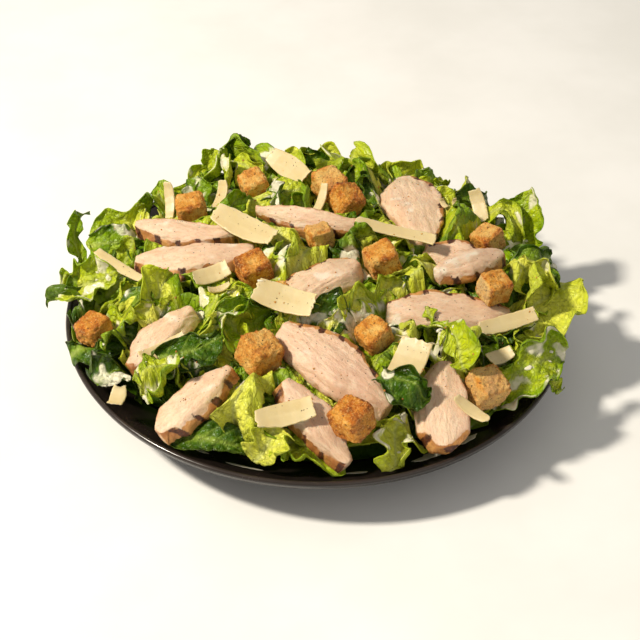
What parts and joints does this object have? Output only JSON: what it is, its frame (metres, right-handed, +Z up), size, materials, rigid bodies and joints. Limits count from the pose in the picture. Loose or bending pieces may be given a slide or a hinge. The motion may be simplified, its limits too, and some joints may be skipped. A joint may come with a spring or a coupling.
{
  "type": "chicken caesar salad",
  "caption": "Heap of romaine leaves in a wide, shallow dark bowl, with grilled chicken slices, croutons and shavings of hard cheese lying on it.",
  "frame": {"origin": "middle of the bowl's flat foot, on the surface it stands on", "axes": "+Z up; the front of the bowl, where the leaves leave its inside bare, is -Y; +X to the right seen from the front"},
  "size_m": [0.2925, 0.2798, 0.0764],
  "materials": {
    "stoneware": "satin, very dark brown, nearly black",
    "romaine": "moist leaf, lime to dark green",
    "chicken": "moist, cream with a browned grilled edge",
    "toasted_bread": "dry and porous, golden brown",
    "hard_cheese": "waxy, pale straw yellow"
  },
  "bodies": {
    "root": {"bowl": "stoneware", "chicken_left_upper": "chicken", "chicken_left_lower": "chicken", "chicken_back_edge": "chicken", "chicken_back_tall": "chicken", "chicken_right_torn": "chicken", "chicken_right_upper": "chicken", "chicken_right_wide": "chicken", "chicken_middle": "chicken", "chicken_front_lower": "chicken", "chicken_front_large": "chicken", "chicken_front_right": "chicken", "chicken_left_middle": "chicken", "chicken_left_front": "chicken", "crouton_back_left": "toasted_bread", "crouton_left_upper": "toasted_bread", "crouton_back_light": "toasted_bread", "crouton_back_dark": "toasted_bread", "crouton_half_hidden": "toasted_bread", "crouton_middle_left": "toasted_bread", "crouton_middle_right": "toasted_bread", "crouton_right_upper": "toasted_bread", "crouton_right_pale": "toasted_bread", "crouton_left_rim": "toasted_bread", "crouton_front_left": "toasted_bread", "crouton_front_middle": "toasted_bread", "crouton_front_right": "toasted_bread", "crouton_front_centre": "toasted_bread", "crouton_under_shaving": "toasted_bread", "cheese_back": "hard_cheese", "cheese_left_spike": "hard_cheese", "cheese_behind_crouton": "hard_cheese", "cheese_upper_left": "hard_cheese", "cheese_back_spike": "hard_cheese", "cheese_left": "hard_cheese", "cheese_left_inner": "hard_cheese", "cheese_left_shaded": "hard_cheese", "cheese_middle": "hard_cheese", "cheese_long": "hard_cheese", "cheese_right_spike": "hard_cheese", "cheese_right": "hard_cheese", "cheese_front": "hard_cheese", "cheese_right_lower": "hard_cheese", "cheese_right_crescent": "hard_cheese", "cheese_left_middle": "hard_cheese", "cheese_front_left": "hard_cheese", "cheese_left_rim": "hard_cheese", "cheese_chip_left": "hard_cheese", "cheese_chip_right": "hard_cheese", "lettuce_heap": "romaine"}
  },
  "joints": []
}
